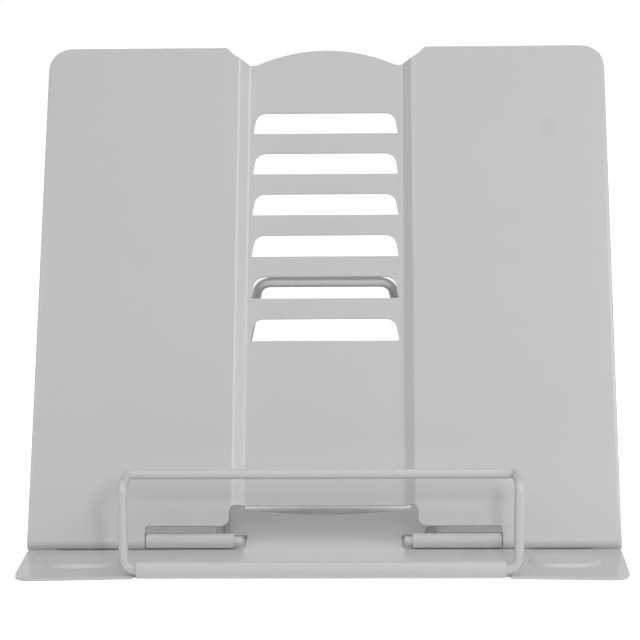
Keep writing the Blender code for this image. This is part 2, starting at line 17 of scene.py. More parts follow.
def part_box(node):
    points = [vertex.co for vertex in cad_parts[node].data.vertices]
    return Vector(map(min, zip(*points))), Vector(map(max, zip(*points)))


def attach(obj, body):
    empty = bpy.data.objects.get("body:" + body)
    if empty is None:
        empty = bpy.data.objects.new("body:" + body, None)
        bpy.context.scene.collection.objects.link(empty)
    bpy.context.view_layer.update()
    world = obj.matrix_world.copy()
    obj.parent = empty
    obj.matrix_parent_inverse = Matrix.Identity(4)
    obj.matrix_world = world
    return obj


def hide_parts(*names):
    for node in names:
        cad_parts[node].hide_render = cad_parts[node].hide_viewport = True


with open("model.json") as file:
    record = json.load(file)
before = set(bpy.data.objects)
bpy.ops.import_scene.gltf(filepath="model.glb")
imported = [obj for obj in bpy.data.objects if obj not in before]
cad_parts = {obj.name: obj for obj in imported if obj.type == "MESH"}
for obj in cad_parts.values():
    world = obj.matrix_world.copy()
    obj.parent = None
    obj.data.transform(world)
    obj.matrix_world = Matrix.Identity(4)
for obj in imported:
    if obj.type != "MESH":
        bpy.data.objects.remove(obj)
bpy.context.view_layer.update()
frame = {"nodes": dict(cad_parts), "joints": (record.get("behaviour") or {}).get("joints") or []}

bl_info = {
    "name": "Folding book stand",
    "version": (1, 0, 0),
    "blender": (4, 5, 0),
    "location": "3D View > Sidebar > Book Stand",
    "description": "Builds the looks of a folding sheet metal book stand",
    "category": "Object",
}

JOINTS = {joint["name"]: joint for joint in frame["joints"]}
HINGE = Vector(JOINTS["plate_tilt"]["pos_m"])
BAIL_AXIS = Vector(JOINTS["bail_swing"]["pos_m"])
PROP_AXIS = Vector(JOINTS["prop_fold"]["pos_m"])
MERGE = 1e-5
QUARTER = math.pi / 2

# Angles between two faces, in degrees: joined as flat, rounded as a sheet's rim,
# bevelled as a square cut, and the limits of smooth shading
FLAT_ANGLE = 0.4
RIM_ANGLE = 62
CUT_ANGLE = 80
SMOOTH_ANGLE = 50
TURNED_SMOOTH_ANGLE = 40

PIN_SIDES = 40
PIN_ROUND_STEPS = 4
WIRE_ROUND_STEPS = 3
FOOT_CORNER_STEPS = 14
FOOT_ROUND_STEPS = 2
DOWNWARD = -0.9

# Bump of the paint's skin and of the rubber's grain: strength and depth
SKIN_BUMP = (0.12, 0.00005)
GRAIN_BUMP = (0.4, 0.00008)

DULL_GREY = (0.1, 0.1, 0.1, 1)
# Pale grey of the painted highlight lines along the plate's creases
CREASE_HIGHLIGHT_GREY = (0.95, 0.95, 0.95, 1)
DUST_GREY = (0.30, 0.30, 0.30, 1)
FLOOR_GREY = (0.95, 0.95, 0.95, 1)
WHITE = (1, 1, 1, 1)

RUBBER_ROUGHNESS = 0.65
RUBBER_DUST = 0.18
FLOOR_ROUGHNESS = 0.9
FLOOR_GLOSS = 0.1
SENSOR_WIDTH = 36.0
NEAREST_SEEN = 0.01

# The faint mark, from the hinge: across, up the plate, and out to its face
MARK_ACROSS = 0.0832
MARK_UP = 0.1584
MARK_OUT = Vector((0, -0.003, 0.001))

# Lamps: name, place, width, height, power setting, whether it makes highlights
LAMP_AIM = Vector((0, 0, 0.08))
LAMPS = (
    ("front_strip", (0, -0.73, 0.47), 0.90, 0.12, "front_power", True),
    ("key_lamp", (0.19, -0.765, 0.35), 0.09, 0.18, "key_power", False),
    ("left_strip", (-0.43, -0.61, 0.75), 0.12, 0.35, "left_power", True),
    ("right_strip", (0.43, -0.61, 0.75), 0.12, 0.35, "right_power", True),
    ("far_left_lamp", (-1.00, -0.40, 0.60), 0.50, 0.80, "far_left_power", True),
    ("far_right_lamp", (1.00, -0.40, 0.60), 0.50, 0.80, "far_right_power", True),
    ("top_lamp", (0, -0.05, 1.40), 1.20, 0.80, "top_power", True),
)


# Sizes and colours that a user would change
class SheetSettings(bpy.types.PropertyGroup):
    lean: FloatProperty(
        name="Lean", description="Angle of the back plate above the table",
        default=math.radians(60.5), subtype="ANGLE")
    rim_round: FloatProperty(
        name="Rim round", description="Width of the rounding on cut sheet edges",
        default=0.00022, unit="LENGTH", precision=6)
    rim_steps: IntProperty(
        name="Rim steps", description="Faces across each rounded rim", default=3, min=1)
    inner_crease: FloatProperty(
        name="Inner crease", description="Half width between the inner creases",
        default=0.0287, unit="LENGTH", precision=5)
    outer_crease: FloatProperty(
        name="Outer crease", description="Half width between the outer creases",
        default=0.0326, unit="LENGTH", precision=5)
    # Strength of the painted highlight lines along the creases
    crease_highlight: FloatProperty(
        name="Crease highlight", description="How pale the paint is along the creases",
        default=0.42, min=0, max=1)
    # Strength of the painted highlight on the rounded cut rims
    rim_highlight_share: FloatProperty(
        name="Rim highlight", description="How much the paint is rubbed on cut rims",
        default=0.8, min=0, max=1)


class WireSettings(bpy.types.PropertyGroup):
    bail_radius: FloatProperty(
        name="Bail wire radius", description="Radius of the page bail's wire",
        default=0.0017, unit="LENGTH", precision=5)
    bail_foot_bend: FloatProperty(
        name="Bail foot bend", description="Bend where the bail leaves the hem",
        default=0.0044, unit="LENGTH", precision=5)
    bail_top_bend: FloatProperty(
        name="Bail top bend", description="Bend at the top of each leg",
        default=0.0030, unit="LENGTH", precision=5)
    bail_corner_bend: FloatProperty(
        name="Bail corner bend", description="Bend at each end of the crossbar",
        default=0.0027, unit="LENGTH", precision=5)
    bail_grip: FloatProperty(
        name="Bail grip", description="Half distance between the wire's hidden ends",
        default=0.0228, unit="LENGTH", precision=5)
    prop_radius: FloatProperty(
        name="Prop wire radius", description="Radius of the prop's wire",
        default=0.00185, unit="LENGTH", precision=5)
    prop_top_half: FloatProperty(
        name="Prop bar half width",
        description="Half width of the bar, to the wire's middle",
        default=0.0242, unit="LENGTH", precision=5)
    prop_pivot_half: FloatProperty(
        name="Prop foot half width", description="Half width of the prop at its pivot",
        default=0.0440, unit="LENGTH", precision=5)
    prop_bend: FloatProperty(
        name="Prop bend", description="Bend radius of the prop's four corners",
        default=0.0050, unit="LENGTH", precision=5)
    prop_grip: FloatProperty(
        name="Prop grip", description="Half distance between the wire's hidden ends",
        default=0.0080, unit="LENGTH", precision=5)
    sides: IntProperty(
        name="Wire sides", description="Faces round each wire", default=28, min=8)
    bend_steps: IntProperty(
        name="Bend steps", description="Faces along a quarter bend", default=12, min=3)
    end_round: FloatProperty(
        name="End round", description="Rounding of cut wire and pin ends",
        default=0.00035, unit="LENGTH", precision=6)


class FinishSettings(bpy.types.PropertyGroup):
    paint: FloatVectorProperty(
        name="Paint", description="Light grey of the sheet and wires",
        default=(0.55, 0.55, 0.55), subtype="COLOR", size=3)
    # Pale grey painted on the rounded cut rims as a highlight
    rim_highlight_grey: FloatVectorProperty(
        name="Rim highlight grey", description="Paler grey of the paint rubbed on cut rims",
        default=(0.80, 0.80, 0.80), subtype="COLOR", size=3)
    sheet_roughness: FloatProperty(
        name="Sheet roughness", description="Roughness of the paint on the sheets",
        default=0.42, min=0, max=1)
    wire_roughness: FloatProperty(
        name="Wire roughness", description="Roughness of the paint on the wires",
        default=0.25, min=0, max=1)
    pin_roughness: FloatProperty(
        name="Pin roughness", description="Roughness of the paint on the pins",
        default=0.40, min=0, max=1)
    coat: FloatProperty(
        name="Coat", description="Strength of the paint's clear coat",
        default=0.5, min=0, max=1)
    coat_roughness: FloatProperty(
        name="Coat roughness", description="Roughness of that clear coat",
        default=0.14, min=0, max=1)
    rubber: FloatVectorProperty(
        name="Rubber", description="Soft feet under the ledge",
        default=(0.045, 0.045, 0.045), subtype="COLOR", size=3)


class StudioSettings(bpy.types.PropertyGroup):
    lens: FloatProperty(
        name="Lens", description="Focal length in millimetres", default=132.74)
    camera_offset: FloatVectorProperty(
        name="Camera place", description="Place of the camera from the hinge",
        default=(0.02345, -0.8066, 0.2297), subtype="TRANSLATION", size=3, precision=5)
    camera_pitch: FloatProperty(
        name="Pitch", description="Downward angle of the camera",
        default=math.radians(10.517), subtype="ANGLE")
    camera_yaw: FloatProperty(
        name="Yaw", description="Turn of the camera to its left",
        default=math.radians(-1.701), subtype="ANGLE")
    camera_roll: FloatProperty(
        name="Roll", description="Tilt of the picture",
        default=math.radians(-0.567), subtype="ANGLE")
    world_light: FloatProperty(
        name="World light", description="Even light from all round", default=0.06)
    front_power: FloatProperty(
        name="Front strip", description="Power of the level strip in front",
        default=0.92, unit="POWER")
    key_power: FloatProperty(
        name="Key lamp", description="Power of the small lamp at the front right",
        default=1.15, unit="POWER")
    left_power: FloatProperty(
        name="Left strip", description="Power of the slim lamp at the left",
        default=0.60, unit="POWER")
    right_power: FloatProperty(
        name="Right strip", description="Power of the slim lamp at the right",
        default=1.30, unit="POWER")
    far_left_power: FloatProperty(
        name="Far left lamp", description="Power of the wide lamp at the far left",
        default=0.90, unit="POWER")
    far_right_power: FloatProperty(
        name="Far right lamp", description="Power of the wide lamp at the far right",
        default=2.90, unit="POWER")
    top_power: FloatProperty(
        name="Top lamp", description="Power of the wide lamp above the stand",
        default=5.2, unit="POWER")
    floor_glow: FloatProperty(
        name="Floor white", description="How white the camera sees the open floor",
        default=1.0)
    shade_width: FloatProperty(
        name="Shade width",
        description="Half width of the shaded floor under the stand",
        default=0.065, unit="LENGTH")
    shade_depth: FloatProperty(
        name="Shade depth",
        description="Half depth of the shaded floor under the stand",
        default=0.0353, unit="LENGTH", precision=4)
    shade_back: FloatProperty(
        name="Shade back",
        description="How far behind the hinge the shade's middle lies",
        default=0.0205, unit="LENGTH", precision=4)
    shade_start: FloatProperty(
        name="Shade start",
        description="Where the shade starts to fade, as a share of its size",
        default=0.95)
    shade_end: FloatProperty(
        name="Shade end", description="Where the shade is gone, as a share of its size",
        default=1.60)
    shade_glow: FloatProperty(
        name="Shade paleness", description="How pale the camera sees that shade",
        default=0.06)
    floor_half: FloatProperty(
        name="Floor half size", description="Half the floor's side", default=3.0,
        unit="LENGTH")


def sheet_values():
    return bpy.context.scene.stand_sheet


def wire_values():
    return bpy.context.scene.stand_wire


def finish_values():
    return bpy.context.scene.stand_finish


def studio_values():
    return bpy.context.scene.stand_studio


# Selecting and finishing
def deselect_all():
    active = bpy.context.view_layer.objects.active
    if active and active.mode != "OBJECT":
        bpy.ops.object.mode_set(mode="OBJECT")
    bpy.ops.object.select_all(action="DESELECT")


def take(piece):
    deselect_all()
    piece.select_set(True)
    bpy.context.view_layer.objects.active = piece


def start_editing(piece, part="VERT"):
    take(piece)
    bpy.ops.object.mode_set(mode="EDIT")
    bpy.ops.mesh.select_mode(type=part)


def stop_editing():
    bpy.ops.object.mode_set(mode="OBJECT")


def select_parts(piece, kind, wanted):
    """Select only the edges or the faces that pass a test."""
    bpy.ops.mesh.select_mode(type=kind)
    bpy.ops.mesh.select_all(action="DESELECT")
    mesh = bmesh.from_edit_mesh(piece.data)
    for part in mesh.edges if kind == "EDGE" else mesh.faces:
        if wanted(part):
            part.select_set(True)
    bmesh.update_edit_mesh(piece.data)


def name_added(name):
    """Name the primitive that was just added, and its mesh."""
    piece = bpy.context.object
    piece.name = name
    piece.data.name = name
    return piece


def apply_place(piece):
    take(piece)
    bpy.ops.object.transform_apply(location=True, rotation=True, scale=True)


def even_shading(piece, angle):
    take(piece)
    bpy.ops.object.shade_smooth_by_angle(angle=math.radians(angle))
    bpy.ops.object.modifier_add(type="WEIGHTED_NORMAL")
    modifier = piece.modifiers[-1]
    modifier.keep_sharp = True
    bpy.ops.object.modifier_apply(modifier=modifier.name)


def finish_piece(piece, body, node, material):
    piece.data.materials.clear()
    piece.data.materials.append(material)
    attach(piece, body)
    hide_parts(node)
    deselect_all()


# Sheet metal
def merged_copy(node, name):
    """Copy a solid, merge its loose triangles and join its flat faces."""
    deselect_all()
    source = frame["nodes"][node]
    piece = bpy.data.objects.new(name, source.data.copy())
    piece.data.name = name
    bpy.context.scene.collection.objects.link(piece)
    start_editing(piece)
    bpy.ops.mesh.select_all(action="SELECT")
    bpy.ops.mesh.remove_doubles(threshold=MERGE)
    bpy.ops.mesh.dissolve_limited(angle_limit=math.radians(FLAT_ANGLE))
    bpy.ops.mesh.customdata_custom_splitnormals_clear()
    stop_editing()
    return piece


def edge_turn(edge):
    if len(edge.link_faces) != 2:
        return 0
    return math.degrees(edge.calc_face_angle(0))


def bevel_chosen(width, steps):
    bpy.ops.mesh.bevel(offset_type="OFFSET", offset=width, segments=steps,
                       profile=0.5, affect="EDGES", clamp_overlap=True,
                       loop_slide=True, miter_outer="SHARP")


def mark_rim_highlight(piece, share):
    """Store the strength of the painted rim highlight on the vertices of the rounding just made.
    """
    mesh = bmesh.from_edit_mesh(piece.data)
    layer = mesh.verts.layers.float.new("rub")
    for vert in mesh.verts:
        rounded = all(face.select for face in vert.link_faces)
        vert[layer] = share if rounded else 0.0
    bmesh.update_edit_mesh(piece.data)


def round_rims(piece):
    values = sheet_values()
    start_editing(piece, "EDGE")
    select_parts(piece, "EDGE", lambda edge: edge_turn(edge) > RIM_ANGLE)
    bevel_chosen(values.rim_round, values.rim_steps)
    # Store where the painted rim highlight goes
    mark_rim_highlight(piece, values.rim_highlight_share)
    stop_editing()


# Shared effects for the materials
def new_group(name, inputs, outputs):
    """Start a shared effect with its labelled sockets."""
    group = bpy.data.node_groups.new(name, "ShaderNodeTree")
    for label, kind, value in inputs:
        socket = group.interface.new_socket(
            name=label, in_out="INPUT", socket_type=kind)
        socket.default_value = value
    for label, kind in outputs:
        group.interface.new_socket(name=label, in_out="OUTPUT", socket_type=kind)
    return group, group.nodes.new("NodeGroupInput"), group.nodes.new("NodeGroupOutput")


def feed(tree, socket, value):
    """Link a socket to another, or set its value."""
    if hasattr(value, "is_linked"):
        tree.links.new(value, socket)
    else:
        socket.default_value = value


def math_node(tree, operation, first, second):
    node = tree.nodes.new("ShaderNodeMath")
    node.operation = operation
    feed(tree, node.inputs[0], first)
    feed(tree, node.inputs[1], second)
    return node.outputs[0]


def mix_colour(tree, blend, share, first, second):
    """Blend two colours; on a colour mix they are sockets 6 and 7, and output 2."""
    node = tree.nodes.new("ShaderNodeMix")
    node.data_type = "RGBA"
    node.blend_type = blend
    feed(tree, node.inputs[0], share)
    feed(tree, node.inputs[6], first)
    feed(tree, node.inputs[7], second)
    return node.outputs[2]


def vector_node(tree, operation, first, second):
    node = tree.nodes.new("ShaderNodeVectorMath")
    node.operation = operation
    feed(tree, node.inputs[0], first)
    feed(tree, node.inputs[1], second)
    return node.outputs


def ramp_between(tree, value, start, end, low=0.0, high=1.0, kind="SMOOTHSTEP"):
    """Low where the value is at the start, high where it is at the end."""
    node = tree.nodes.new("ShaderNodeMapRange")
    node.interpolation_type = kind
    feed(tree, node.inputs["Value"], value)
    feed(tree, node.inputs["From Min"], start)
    feed(tree, node.inputs["From Max"], end)
    feed(tree, node.inputs["To Min"], low)
    feed(tree, node.inputs["To Max"], high)
    return node.outputs["Result"]


def place_group(tree, group, values):
    """Add a shared effect to a material, with its own values."""
    node = tree.nodes.new("ShaderNodeGroup")
    node.node_tree = group
    for label, value in values.items():
        feed(tree, node.inputs[label], value)
    return node.outputs


def noise(tree, vector, scale, detail, roughness):
    node = tree.nodes.new("ShaderNodeTexNoise")
    feed(tree, node.inputs["Vector"], vector)
    feed(tree, node.inputs["Scale"], scale)
    feed(tree, node.inputs["Detail"], detail)
    feed(tree, node.inputs["Roughness"], roughness)
    return node.outputs["Fac"]


def paint_film():
    """Soft cloudiness of the paint, its fine skin and a painted highlight on its rounded rims.
    """
    name = "paint_film"
    if name in bpy.data.node_groups:
        return bpy.data.node_groups[name]
    group, given, made = new_group(
        name,
        [("Colour", "NodeSocketColor", (0.5, 0.5, 0.5, 1)),
         ("Worn Colour", "NodeSocketColor", (0.8, 0.8, 0.8, 1)),
         ("Cloud Scale", "NodeSocketFloat", 18.0),
         ("Cloud Amount", "NodeSocketFloat", 0.05),
         ("Skin Scale", "NodeSocketFloat", 900.0),
         ("Edge Rub", "NodeSocketFloat", 0.2),
         ("Roughness", "NodeSocketFloat", 0.4),
         ("Roughness Swing", "NodeSocketFloat", 1.2)],
        [("Colour", "NodeSocketColor"), ("Roughness", "NodeSocketFloat"),
         ("Height", "NodeSocketFloat")])
    place = group.nodes.new("ShaderNodeTexCoord").outputs["Object"]
    cloud = noise(group, place, given.outputs["Cloud Scale"], detail=3.0, roughness=0.55)
    skin = noise(group, place, given.outputs["Skin Scale"], detail=2.0, roughness=0.5)
    centred = math_node(group, "SUBTRACT", cloud, 0.5)
    swing = math_node(group, "MULTIPLY", centred, given.outputs["Cloud Amount"])
    level = math_node(group, "ADD", swing, 1.0)
    combine = group.nodes.new("ShaderNodeCombineColor")
    for socket in combine.inputs:
        group.links.new(level, socket)
    tinted = mix_colour(group, "MULTIPLY", 1.0, given.outputs["Colour"],
                        combine.outputs[0])
    # Painted highlight: the rounded rims turn paler by their stored share
    rim_highlight_attribute = group.nodes.new("ShaderNodeAttribute")
    rim_highlight_attribute.attribute_name = "rub"
    rub = math_node(group, "MULTIPLY", rim_highlight_attribute.outputs["Fac"],
                    given.outputs["Edge Rub"])
    rim_highlighted = mix_colour(group, "MIX", rub, tinted, given.outputs["Worn Colour"])
    group.links.new(rim_highlighted, made.inputs["Colour"])
    uneven = math_node(group, "MULTIPLY", swing, given.outputs["Roughness Swing"])
    group.links.new(math_node(group, "ADD", given.outputs["Roughness"], uneven),
                    made.inputs["Roughness"])
    group.links.new(skin, made.inputs["Height"])
    return group


def faint_mark():
    """A soft dull mark, round its own centre, on the paint."""
    name = "faint_mark"
    if name in bpy.data.node_groups:
        return bpy.data.node_groups[name]
    group, given, made = new_group(
        name,
        [("Colour", "NodeSocketColor", (0.5, 0.5, 0.5, 1)),
         ("Centre", "NodeSocketVector", (0, 0, 0)),
         ("Radius", "NodeSocketFloat", 0.006),
         ("Core", "NodeSocketFloat", 0.2),
         ("Darkness", "NodeSocketFloat", 0.05)],
        [("Colour", "NodeSocketColor")])
    place = group.nodes.new("ShaderNodeTexCoord").outputs["Object"]
    away = vector_node(group, "DISTANCE", place, given.outputs["Centre"])["Value"]
    reach = math_node(group, "DIVIDE", away, given.outputs["Radius"])
    inside = ramp_between(group, reach, 1.0, given.outputs["Core"])
    share = math_node(group, "MULTIPLY", inside, given.outputs["Darkness"])
    group.links.new(mix_colour(group, "MIX", share, given.outputs["Colour"], DULL_GREY),
                    made.inputs["Colour"])
    return group


def crease_line():
    """A thin painted highlight line along a crease, on both sides, fading out towards the
    bottom.
    """
    name = "crease_line"
    if name in bpy.data.node_groups:
        return bpy.data.node_groups[name]
    group, given, made = new_group(
        name,
        [("Colour", "NodeSocketColor", (0.5, 0.5, 0.5, 1)),
         ("Half Width", "NodeSocketFloat", 0.03),
         ("Line Width", "NodeSocketFloat", 0.0005),
         ("Fade Low", "NodeSocketFloat", 0.085),
         ("Fade High", "NodeSocketFloat", 0.165),
         ("Amount", "NodeSocketFloat", 0.3)],
        [("Colour", "NodeSocketColor")])
    place = group.nodes.new("ShaderNodeTexCoord").outputs["Object"]
    split = group.nodes.new("ShaderNodeSeparateXYZ")
    group.links.new(place, split.inputs[0])
    across = math_node(group, "ABSOLUTE", split.outputs["X"], 0.0)
    gap = math_node(group, "SUBTRACT", across, given.outputs["Half Width"])
    reach = math_node(group, "DIVIDE", math_node(group, "ABSOLUTE", gap, 0.0),
                      given.outputs["Line Width"])
    line = ramp_between(group, reach, 1.0, 0.0)
    fade = ramp_between(group, split.outputs["Z"], given.outputs["Fade Low"],
                        given.outputs["Fade High"], kind="LINEAR")
    share = math_node(group, "MULTIPLY", line, given.outputs["Amount"])
    share = math_node(group, "MULTIPLY", share, fade)
    group.links.new(mix_colour(group, "MIX", share, given.outputs["Colour"], CREASE_HIGHLIGHT_GREY),
                    made.inputs["Colour"])
    return group


def new_material(name):
    material = bpy.data.materials.new(name)
    material.use_nodes = True
    tree = material.node_tree
    return material, tree, tree.nodes["Principled BSDF"]


def add_bump(tree, height, shader, values):
    strength, distance = values
    bump = tree.nodes.new("ShaderNodeBump")
    bump.inputs["Strength"].default_value = strength
    bump.inputs["Distance"].default_value = distance
    tree.links.new(height, bump.inputs["Height"])
    tree.links.new(bump.outputs["Normal"], shader.inputs["Normal"])


def painted_metal(name, roughness, cloud_scale, cloud=0.05, rub=0.0, mark=None,
                  creases=()):
    """Satin paint on metal with its film, painted highlights on rims and creases, and an
    optional faint mark.
    """
    finish = finish_values()
    material, tree, shader = new_material(name)
    film = place_group(tree, paint_film(), {
        "Colour": (*finish.paint, 1),
        "Worn Colour": (*finish.rim_highlight_grey, 1),
        "Cloud Scale": cloud_scale,
        "Cloud Amount": cloud,
        "Edge Rub": rub,
        "Roughness": roughness,
    })
    shown = film["Colour"]
    if mark:
        spot = place_group(tree, faint_mark(), {"Colour": shown, "Centre": mark})
        shown = spot["Colour"]
    # Painted highlight lines along the creases, fading out towards the bottom
    for half_width in creases:
        line = place_group(tree, crease_line(), {
            "Colour": shown,
            "Half Width": half_width,
            "Amount": sheet_values().crease_highlight,
        })
        shown = line["Colour"]
    tree.links.new(shown, shader.inputs["Base Color"])
    tree.links.new(film["Roughness"], shader.inputs["Roughness"])
    add_bump(tree, film["Height"], shader, SKIN_BUMP)
    shader.inputs["Metallic"].default_value = 0.0
    shader.inputs["Coat Weight"].default_value = finish.coat
    shader.inputs["Coat Roughness"].default_value = finish.coat_roughness
    return material


def foot_rubber(name):
    """Matt rubber with a fine grain and pale dust."""
    material, tree, shader = new_material(name)
    place = tree.nodes.new("ShaderNodeTexCoord").outputs["Object"]
    grain = noise(tree, place, scale=2200.0, detail=2.0, roughness=0.6)
    dust = noise(tree, place, scale=220.0, detail=4.0, roughness=0.7)
    share = math_node(tree, "MULTIPLY", dust, RUBBER_DUST)
    shade = mix_colour(tree, "MIX", share, (*finish_values().rubber, 1), DUST_GREY)
    tree.links.new(shade, shader.inputs["Base Color"])
    tree.links.new(math_node(tree, "ADD", share, RUBBER_ROUGHNESS),
                   shader.inputs["Roughness"])
    add_bump(tree, grain, shader, GRAIN_BUMP)
    return material


# Pieces
class BOOKSTAND_OT_back_plate(bpy.types.Operator):
    """Round the cut rims of the leaning back plate"""
    bl_idname = "bookstand.back_plate"
    bl_label = "Back plate"

    def execute(self, context):
        values = sheet_values()
        piece = merged_copy("back_plate", "leaning_plate")
        round_rims(piece)
        even_shading(piece, SMOOTH_ANGLE)
        mark = HINGE + MARK_OUT + Vector((MARK_ACROSS, MARK_UP * math.cos(values.lean),
                                          MARK_UP * math.sin(values.lean)))
        # Paint with painted highlights on the rounded rims and along the creases
        paint = painted_metal("plate_paint", finish_values().sheet_roughness,
                              cloud_scale=14.0, rub=0.85, mark=mark,
                              creases=(values.inner_crease, values.outer_crease))
        finish_piece(piece, "plate", "back_plate", paint)
        return {"FINISHED"}


class BOOKSTAND_OT_base_plate(bpy.types.Operator):
    """Round the cut rims of the base sheet"""
    bl_idname = "bookstand.base_plate"
    bl_label = "Base plate"

    def execute(self, context):
        piece = merged_copy("base_plate", "ledge_and_tongue")
        round_rims(piece)
        even_shading(piece, SMOOTH_ANGLE)
        # Paint with a painted highlight on the rounded rims
        paint = painted_metal("base_paint", finish_values().sheet_roughness,
                              cloud_scale=22.0, rub=0.45)
        finish_piece(piece, "base", "base_plate", paint)
        return {"FINISHED"}


def start_wire(name, place, radius):
    """Add the round cut end of a wire, ready to be extruded."""
    values = wire_values()
    deselect_all()
    bpy.ops.mesh.primitive_circle_add(
        vertices=values.sides, radius=radius, fill_type="NGON",
        location=place, rotation=(0, -QUARTER, 0))
    piece = name_added(name)
    apply_place(piece)
    start_editing(piece, "FACE")
    bpy.ops.mesh.select_all(action="SELECT")
    return piece


def run_on(way):
    """Draw the wire straight on from its open end."""
    bpy.ops.mesh.extrude_region_move(TRANSFORM_OT_translate={"value": way})


def bend_round(centre, axis, angle):
    """Bend the wire on from its open end; the spin tool turns the other way round."""
    steps = max(3, round(wire_values().bend_steps * abs(angle) / QUARTER))
    bpy.ops.mesh.spin(steps=steps, dupli=False, angle=-angle, use_auto_merge=False,
                      center=centre, axis=axis)


def close_wire(piece, end_round):
    """Bevel both cut ends and turn all faces outward."""
    bpy.ops.mesh.select_mode(type="VERT")
    bpy.ops.mesh.select_all(action="SELECT")
    bpy.ops.mesh.remove_doubles(threshold=MERGE / 10)
    bpy.ops.mesh.normals_make_consistent(inside=False)
    select_parts(piece, "EDGE", lambda edge: edge_turn(edge) > CUT_ANGLE)
    bevel_chosen(end_round, WIRE_ROUND_STEPS)
    stop_editing()


class BOOKSTAND_OT_page_bail(bpy.types.Operator):
    """Bend the wire bail that holds the open pages"""
    bl_idname = "bookstand.page_bail"
    bl_label = "Page bail"

    def execute(self, context):
        values = wire_values()
        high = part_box("page_bail")[1]
        radius = values.bail_radius
        leg = high.x - radius
        top = high.z - radius
        bar = high.y - radius
        foot = values.bail_foot_bend
        knee = values.bail_top_bend
        corner = values.bail_corner_bend
        y, z = BAIL_AXIS.y, BAIL_AXIS.z
        piece = start_wire("bail_of_wire", (-values.bail_grip, y, z), radius)
        run_on((-leg + foot + values.bail_grip, 0, 0))
        bend_round((-leg + foot, y, z + foot), (0, 1, 0), QUARTER)
        run_on((0, 0, top - z - foot - knee))
        bend_round((-leg, y + knee, top - knee), (1, 0, 0), -QUARTER)
        run_on((0, bar - y - knee - corner, 0))
        bend_round((-leg + corner, bar - corner, top), (0, 0, 1), -QUARTER)
        run_on((leg + leg - corner - corner, 0, 0))
        bend_round((leg - corner, bar - corner, top), (0, 0, 1), -QUARTER)
        run_on((0, -bar + y + knee + corner, 0))
        bend_round((leg, y + knee, top - knee), (1, 0, 0), QUARTER)
        run_on((0, 0, -top + z + foot + knee))
        bend_round((leg - foot, y, z + foot), (0, 1, 0), QUARTER)
        run_on((-leg + foot + values.bail_grip, 0, 0))
        close_wire(piece, values.end_round)
        even_shading(piece, SMOOTH_ANGLE)
        paint = painted_metal("bail_paint", finish_values().wire_roughness,
                              cloud_scale=60.0)
        finish_piece(piece, "bail", "page_bail", paint)
        return {"FINISHED"}


class BOOKSTAND_OT_prop_wire(bpy.types.Operator):
    """Bend the wire prop and lean it on its pivot"""
    bl_idname = "bookstand.prop_wire"
    bl_label = "Prop wire"

    def execute(self, context):
        values = wire_values()
        low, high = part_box("prop_wire")
        radius = values.prop_radius
        bar = Vector((0, low.y + radius, high.z - radius))
        reach = bar - PROP_AXIS
        reach.x = 0
        length = reach.length
        angle = math.atan2(reach.z, reach.y)
        splay = math.atan2(values.prop_pivot_half - values.prop_top_half, length)
        bend = values.prop_bend
        foot_back = bend * math.tan((QUARTER + splay) / 2)
        top_back = bend * math.tan((QUARTER - splay) / 2)
        leg = math.hypot(values.prop_pivot_half - values.prop_top_half, length)
        straight = leg - foot_back - top_back
        rise = Vector((math.sin(splay), math.cos(splay), 0))
        piece = start_wire("prop_of_wire", (-values.prop_grip, 0, 0), radius)
        foot_start = values.prop_pivot_half - foot_back
        run_on((-foot_start + values.prop_grip, 0, 0))
        bend_round((-foot_start, bend, 0), (0, 0, 1), -(QUARTER + splay))
        run_on(rise * straight)
        bar_start = values.prop_top_half - top_back
        bend_round((-bar_start, length - bend, 0), (0, 0, 1), -(QUARTER - splay))
        run_on((bar_start + bar_start, 0, 0))
        bend_round((bar_start, length - bend, 0), (0, 0, 1), -(QUARTER - splay))
        run_on(Vector((rise.x, -rise.y, 0)) * straight)
        bend_round((foot_start, bend, 0), (0, 0, 1), -(QUARTER + splay))
        run_on((-foot_start + values.prop_grip, 0, 0))
        close_wire(piece, values.end_round)
        piece.rotation_euler = (angle, 0, 0)
        piece.location = PROP_AXIS
        apply_place(piece)
        even_shading(piece, SMOOTH_ANGLE)
        paint = painted_metal("prop_paint", finish_values().wire_roughness,
                              cloud_scale=60.0)
        finish_piece(piece, "prop", "prop_wire", paint)
        return {"FINISHED"}


def hinge_pin(name, node):
    """Turn a pin with rounded, slightly hollow ends."""
    values = wire_values()
    low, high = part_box(node)
    middle = (low + high) / 2
    deselect_all()
    bpy.ops.mesh.primitive_cylinder_add(
        vertices=PIN_SIDES, radius=(high.z - low.z) / 2, depth=high.x - low.x,
        location=middle, rotation=(0, QUARTER, 0))
    piece = name_added(name)
    apply_place(piece)
    start_editing(piece, "EDGE")
    select_parts(piece, "EDGE", lambda edge: edge_turn(edge) > CUT_ANGLE)
    bevel_chosen(values.end_round, PIN_ROUND_STEPS)
    select_parts(piece, "FACE", lambda face: len(face.verts) > 4)
    bpy.ops.mesh.inset(thickness=values.end_round * 2, depth=0)
    bpy.ops.mesh.inset(thickness=values.end_round / 2, depth=-values.end_round / 2)
    stop_editing()
    even_shading(piece, TURNED_SMOOTH_ANGLE)
    paint = painted_metal(name + "_paint", finish_values().pin_roughness,
                          cloud_scale=90.0, cloud=0.08)
    finish_piece(piece, "base", node, paint)


class BOOKSTAND_OT_hinge_pins(bpy.types.Operator):
    """Turn the two hinge pins"""
    bl_idname = "bookstand.hinge_pins"
    bl_label = "Hinge pins"

    def execute(self, context):
        hinge_pin("left_pin", "hinge_pin_left")
        hinge_pin("right_pin", "hinge_pin_right")
        return {"FINISHED"}


